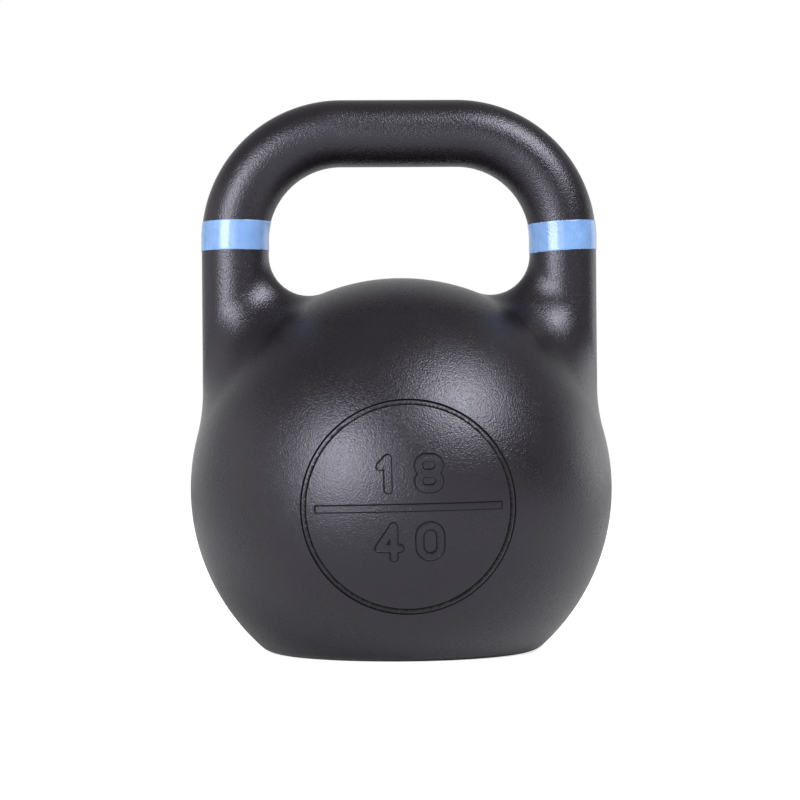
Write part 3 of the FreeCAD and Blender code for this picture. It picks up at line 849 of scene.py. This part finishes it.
def handle_tree(sizes):
    """A round bar swept along two legs and a grip, with both corners rounded."""
    tree, put = new_tree("Bent bar", sizes)
    across = scaled(tree, put["Leg X"], -1.0)
    corners = ((across, put["Foot Z"]), (across, put["Grip Z"]),
               (put["Leg X"], put["Grip Z"]), (put["Leg X"], put["Foot Z"]))
    switch = add_node(tree, "GeometryNodeIndexSwitch", data_type="VECTOR")
    while len(switch.index_switch_items) < len(corners):
        switch.index_switch_items.new()
    tree.links.new(add_node(tree, "GeometryNodeInputIndex").outputs[0], switch.inputs["Index"])
    for place, (x, z) in enumerate(corners):
        corner = add_node(tree, "ShaderNodeCombineXYZ", {"X": x, "Z": z})
        tree.links.new(corner.outputs[0], switch.inputs[place + 1])
    line = add_node(tree, "GeometryNodeMeshLine", {"Count": len(corners)})
    bent = add_node(tree, "GeometryNodeSetPosition", {"Geometry": line.outputs[0],
                                                      "Position": switch.outputs[0]})
    curve = add_node(tree, "GeometryNodeMeshToCurve", {"Mesh": bent.outputs[0]})
    rounded = add_node(tree, "GeometryNodeFilletCurve", {"Curve": curve.outputs[0],
                                                         "Count": put["Bend Steps"],
                                                         "Radius": put["Bend Radius"]},
                       mode="POLY")
    section = add_node(tree, "GeometryNodeCurvePrimitiveCircle",
                       {"Resolution": put["Around"], "Radius": put["Bar Radius"]})
    bar = add_node(tree, "GeometryNodeCurveToMesh", {"Curve": rounded.outputs[0],
                                                     "Profile Curve": section.outputs[0]})
    end_tree(tree, bar.outputs[0], put["Finish"])
    return tree


def weld_bead_tree(sizes):
    """A bead of weld along a circle, swelling once for each ripple of the torch."""
    tree, put = new_tree("Weld bead", sizes)
    ring = add_node(tree, "GeometryNodeCurvePrimitiveCircle",
                    {"Resolution": put["Steps"], "Radius": put["Ring Radius"]})
    lift = add_node(tree, "ShaderNodeCombineXYZ", {"Z": put["Height"]})
    placed = add_node(tree, "GeometryNodeSetPosition", {"Geometry": ring.outputs[0],
                                                        "Offset": lift.outputs[0]})
    share = add_node(tree, "GeometryNodeSplineParameter").outputs["Factor"]
    saw = worked_out(tree, "FRACT", scaled(tree, share, put["Ripples"]))
    swell = scaled(tree, saw, put["Ripple Height"])
    wander = add_node(tree, "ShaderNodeTexNoise", {"Scale": put["Unevenness"]})
    uneven = scaled(tree, wander.outputs[0], 0.1)
    size = added(tree, added(tree, swell, uneven), 0.9)
    section = add_node(tree, "GeometryNodeCurvePrimitiveCircle",
                       {"Resolution": put["Around"], "Radius": put["Bead Radius"]})
    bead = add_node(tree, "GeometryNodeCurveToMesh",
                    {"Curve": placed.outputs[0], "Profile Curve": section.outputs[0],
                     "Scale": size})
    end_tree(tree, bead.outputs[0], put["Finish"])
    return tree


# ---- operators

class KETTLEBELL_OT_ball(bpy.types.Operator):
    """Make the ball with its horns, base and sunk mark"""

    bl_idname = "kettlebell.ball"
    bl_label = "Ball and horns"

    def execute(self, context):
        scene = context.scene
        skin = BallSkin(scene.kettlebell_body, scene.kettlebell_handle, scene.kettlebell_mark)
        points, faces = skin.build()
        ball = new_piece("ball_and_horns", points, faces, coat_material())
        close_up(ball, 0.02 * MM)
        ball.data.set_sharp_from_angle(angle=math.radians(40))
        skin.keep_mark_smooth(ball.data)
        skin.paint_mark_shade(ball.data)
        finish_piece(ball, "ball_shell")
        return {"FINISHED"}


class KETTLEBELL_OT_handle(bpy.types.Operator):
    """Make the bent round handle with its pegs"""

    bl_idname = "kettlebell.handle"
    bl_label = "Handle"

    def execute(self, context):
        h = context.scene.kettlebell_handle
        sizes = {"Leg X": LEG_REACH - h.bar_radius, "Foot Z": JOINT + h.bevel,
                 "Grip Z": TOP - h.bar_radius, "Bend Radius": h.bend_radius,
                 "Bar Radius": h.bar_radius, "Bend Steps": 40, "Around": 128}
        handle = run_tree("bent_handle", handle_tree(sizes), sizes, coat_material())
        self.close_ends(handle.data, h, sizes["Leg X"])
        close_up(handle, 0.01 * MM)
        handle.data.shade_smooth()
        handle.data.set_sharp_from_angle(angle=math.radians(30))
        finish_piece(handle, "handle_arch")
        return {"FINISHED"}

    def close_ends(self, mesh, h, leg_x):
        """Carry each end of the bar on into its bevel, shoulder and peg."""
        work = bmesh.new()
        work.from_mesh(mesh)
        rims = [e for e in work.edges if e.is_boundary]
        peg_end = JOINT - h.spigot_length
        steps = ((h.bar_radius - h.bevel, JOINT), (h.spigot_radius, JOINT),
                 (h.spigot_radius, peg_end))
        for radius, height in steps:
            grown = bmesh.ops.extrude_edge_only(work, edges=rims)["geom"]
            rims = [g for g in grown if isinstance(g, bmesh.types.BMEdge)]
            for vert in [g for g in grown if isinstance(g, bmesh.types.BMVert)]:
                foot = Vector((math.copysign(leg_x, vert.co.x), 0, height))
                out = Vector((vert.co.x - foot.x, vert.co.y, 0)).normalized()
                vert.co = foot + out * radius
        bmesh.ops.holes_fill(work, edges=rims, sides=0)
        work.to_mesh(mesh)
        work.free()


class KETTLEBELL_OT_bands(bpy.types.Operator):
    """Paint a colour band round each leg of the handle"""

    bl_idname = "kettlebell.bands"
    bl_label = "Colour bands"

    COLUMNS = 180
    ROWS = 16
    # The film's edge: how far it takes to reach full thickness, and what lies below the bar
    EDGE = 0.35 * MM
    UNDER = 0.03 * MM
    EDGE_FILM = (0.35, 0.8)
    # The lower edge wavers the other way, and less
    LOWER_WAVER = -0.7

    def execute(self, context):
        h = context.scene.kettlebell_handle
        material = band_paint(context.scene.kettlebell_finish)
        for name, side in SIDES.items():
            points, faces = self.sleeve(h, side)
            band = new_piece(f"{name}_band", points, faces, material)
            close_up(band, 0.002 * MM)
            band.data.set_sharp_from_angle(angle=math.radians(60))
            finish_piece(band, f"{name}_colour_band")
        return {"FINISHED"}

    def sleeve(self, h, side):
        """A thin closed sleeve that follows the leg up into its bend."""
        low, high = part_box("left_colour_band")
        height = high[2] - low[2]
        drop = h.right_drop if side > 0 else 0
        slope = math.tan(h.right_tilt) if side > 0 else 0
        edge = self.EDGE / height
        shares = [0, 0.35 * edge, edge, *np.linspace(0, 1, self.ROWS)[1:-1],
                  1 - edge, 1 - 0.35 * edge, 1]
        proud = [*self.EDGE_FILM, *[1] * (len(shares) - 4), *self.EDGE_FILM[::-1]]
        profile = [(s, p * h.band_film + self.UNDER) for s, p in zip(shares, proud)]
        profile += [(s, self.UNDER) for s in shares[::-1]]
        points = []
        for column in range(self.COLUMNS):
            turn = 2 * math.pi * column / self.COLUMNS
            out = math.cos(turn)
            lean = slope * h.bar_radius * out - drop
            waver = h.band_waver * self.wander(turn, side)
            for share, lift in profile:
                z = low[2] + share * height + lean
                z += waver * (1 if share > 0.5 else self.LOWER_WAVER)
                points.append(self.on_leg(h, side, turn, h.bar_radius + lift, z))
        columns = np.arange(len(points)).reshape(self.COLUMNS, len(profile)).tolist()
        faces = []
        for here, there in zip(columns, columns[1:] + columns[:1]):
            faces += ring_faces(here, there)
        return points, faces

    def wander(self, turn, side):
        """A smooth hand-painted waver round the leg."""
        return (math.sin(3 * turn + side) + 0.7 * math.sin(7 * turn + 2 * side)
                + 0.5 * math.sin(16 * turn + 0.6) + 0.3 * math.sin(29 * turn + side)) / 2

    def on_leg(self, h, side, turn, radius, z):
        """A point at a height on a leg of this radius, straight below and bent above."""
        start = TOP - h.bar_radius - h.bend_radius
        out, y = radius * math.cos(turn), radius * math.sin(turn)
        leg_x = LEG_REACH - h.bar_radius
        if z <= start:
            return (side * (leg_x + out), y, z)
        reach = h.bend_radius + out
        bend = math.asin((z - start) / reach)
        return (side * (leg_x - h.bend_radius + reach * math.cos(bend)), y, z)


class KETTLEBELL_OT_base(bpy.types.Operator):
    """Finish the closing plate and lay the bead of weld round it"""

    bl_idname = "kettlebell.base"
    bl_label = "Base plate and weld"

    def execute(self, context):
        scene = context.scene
        body = scene.kettlebell_body
        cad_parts["base_plate"].material_slots[0].material = coat_material()
        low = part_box("base_weld_ring")[0]
        gap_middle = PLATE_RADIUS + body.weld_width / 2
        sizes = {"Ring Radius": gap_middle, "Height": low[2] + 1.3 * MM,
                 "Bead Radius": 1.55 * MM, "Ripples": 118.0, "Ripple Height": 0.14,
                 "Unevenness": 90.0, "Steps": 944, "Around": 20}
        bead = run_tree("base_weld_bead", weld_bead_tree(sizes), sizes, coat_material())
        close_up(bead, 0.001 * MM)
        bead.data.shade_smooth()
        finish_piece(bead, "base_weld_ring")
        return {"FINISHED"}


class KETTLEBELL_OT_inside(bpy.types.Operator):
    """Give the welds and the ballast inside their own finishes"""

    bl_idname = "kettlebell.inside"
    bl_label = "Welds and ballast"

    def execute(self, context):
        weld = bare_metal("weld_steel", (0.20, 0.19, 0.18), (0.34, 0.32, 0.30), 0.45, 700,
                          0.05 * MM)
        iron = bare_metal("ballast_iron", (0.09, 0.085, 0.08), (0.17, 0.165, 0.16), 0.7, 350,
                          0.12 * MM)
        plated = bare_metal("plated_steel", (0.50, 0.50, 0.51), (0.60, 0.60, 0.62), 0.32, 1400,
                            0.01 * MM)
        finishes = {"left_weld_ring": weld, "right_weld_ring": weld, "ballast_core": iron,
                    "ballast_pad": pad_rubber(), "ballast_washer": plated,
                    "ballast_bolt": plated}
        for node, material in finishes.items():
            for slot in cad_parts[node].material_slots:
                slot.material = material
        return {"FINISHED"}


class KETTLEBELL_OT_stage(bpy.types.Operator):
    """Set up the floor, the soft lights and the camera"""

    bl_idname = "kettlebell.stage"
    bl_label = "Studio"

    def execute(self, context):
        scene = context.scene
        s = scene.kettlebell_stage
        scene.view_settings.view_transform = "Standard"
        self.make_surround(scene, s)
        self.make_floor(s)
        self.make_camera(scene, s)
        for name, azimuth, elevation, width, height, glow in LIGHTS:
            self.make_softbox(name, azimuth, elevation, width, height, glow)
        return {"FINISHED"}

    def make_surround(self, scene, s):
        world = bpy.data.worlds.new("white_surround")
        world.use_nodes = True
        tree = world.node_tree
        ground = tree.nodes["Background"]
        ground.inputs["Color"].default_value = (*s.surround, 1)
        way = add_node(tree, "ShaderNodeTexCoord").outputs["Generated"]
        parts = add_node(tree, "ShaderNodeSeparateXYZ", {"Vector": way}).outputs
        behind = spread(tree, parts["Y"], 0, s.surround_strength, 0.1, 0.95,
                        interpolation_type="SMOOTHSTEP")
        low = spread(tree, parts["Z"], 1, 0.3, 0.05, 0.6)
        room = added(tree, scaled(tree, behind, low), s.room_glow)
        seen = add_node(tree, "ShaderNodeLightPath").outputs["Is Camera Ray"]
        shown = worked_out(tree, "MAXIMUM", seen, room)
        tree.links.new(shown, ground.inputs["Strength"])
        scene.world = world

    def make_floor(self, s):
        half = s.floor_size / 2
        mesh = bpy.data.meshes.new("floor")
        corners = [(-half, -half), (half, -half), (half, half), (-half, half)]
        mesh.from_pydata([(x, y, -FLOOR_GAP) for x, y in corners], [], [(0, 1, 2, 3)])
        material, tree, surface, _ = new_material("white_floor")
        seen = add_node(tree, "ShaderNodeLightPath").outputs["Is Camera Ray"]
        feed(tree, surface, {"Base Color": (*s.floor, 1), "Roughness": 0.9,
                             "Specular IOR Level": 0.0, "Emission Color": (1, 1, 1, 1),
                             "Emission Strength": scaled(tree, seen, s.floor_glow)})
        mesh.materials.append(material)
        add_object("floor", mesh)

    def make_camera(self, scene, s):
        data = bpy.data.cameras.new("camera")
        data.lens = s.lens
        data.shift_x = s.shift_side
        data.shift_y = s.shift_up
        data.clip_start, data.clip_end = 0.05, 50
        camera = add_object("camera", data)
        turn = (Matrix.Rotation(-s.camera_turn, 4, "Z") @ Matrix.Rotation(math.pi / 2, 4, "X")
                @ Matrix.Rotation(-s.camera_roll, 4, "Z"))
        camera.matrix_world = Matrix.Translation(s.camera_place) @ turn
        scene.camera = camera

    def make_softbox(self, name, azimuth, elevation, width, height, glow):
        """A soft light aimed at the bell, placed by its direction from the bell's front."""
        data = bpy.data.lights.new(name, "AREA")
        data.shape = "RECTANGLE"
        data.size = 2 * LIGHT_DISTANCE * math.tan(math.radians(width) / 2)
        data.size_y = 2 * LIGHT_DISTANCE * math.tan(math.radians(height) / 2)
        data.energy = glow * math.pi * data.size * data.size_y
        a, e = math.radians(azimuth), math.radians(elevation)
        way = Vector((math.sin(a) * math.cos(e), -math.cos(a) * math.cos(e), math.sin(e)))
        light = add_object(name, data)
        light.location = LIGHT_AIM + way * LIGHT_DISTANCE
        light.rotation_mode = "QUATERNION"
        light.rotation_quaternion = (-way).to_track_quat("-Z", "Y")
        light.visible_camera = False


class KETTLEBELL_PT_panel(bpy.types.Panel):
    """Lists the kettlebell's steps"""

    bl_label = "Kettlebell"
    bl_idname = "KETTLEBELL_PT_panel"
    bl_space_type = "VIEW_3D"
    bl_region_type = "UI"
    bl_category = "Kettlebell"

    def draw(self, context):
        for step in STEPS:
            self.layout.operator(step.bl_idname)


STEPS = (KETTLEBELL_OT_ball, KETTLEBELL_OT_handle, KETTLEBELL_OT_bands, KETTLEBELL_OT_base,
         KETTLEBELL_OT_inside, KETTLEBELL_OT_stage)
GROUPS = {"kettlebell_body": KettlebellBody, "kettlebell_handle": KettlebellHandle,
          "kettlebell_mark": KettlebellMark, "kettlebell_finish": KettlebellFinish,
          "kettlebell_stage": KettlebellStage}


def register():
    for group in GROUPS.values():
        bpy.utils.register_class(group)
    for name, group in GROUPS.items():
        setattr(bpy.types.Scene, name, bpy.props.PointerProperty(type=group))
    for step in (*STEPS, KETTLEBELL_PT_panel):
        bpy.utils.register_class(step)


def unregister():
    for step in (KETTLEBELL_PT_panel, *reversed(STEPS)):
        bpy.utils.unregister_class(step)
    for name in GROUPS:
        delattr(bpy.types.Scene, name)
    for group in GROUPS.values():
        bpy.utils.unregister_class(group)


def main():
    register()
    bpy.ops.kettlebell.ball()
    bpy.ops.kettlebell.handle()
    bpy.ops.kettlebell.bands()
    bpy.ops.kettlebell.base()
    bpy.ops.kettlebell.inside()
    bpy.ops.kettlebell.stage()


if __name__ == "__main__":
    main()
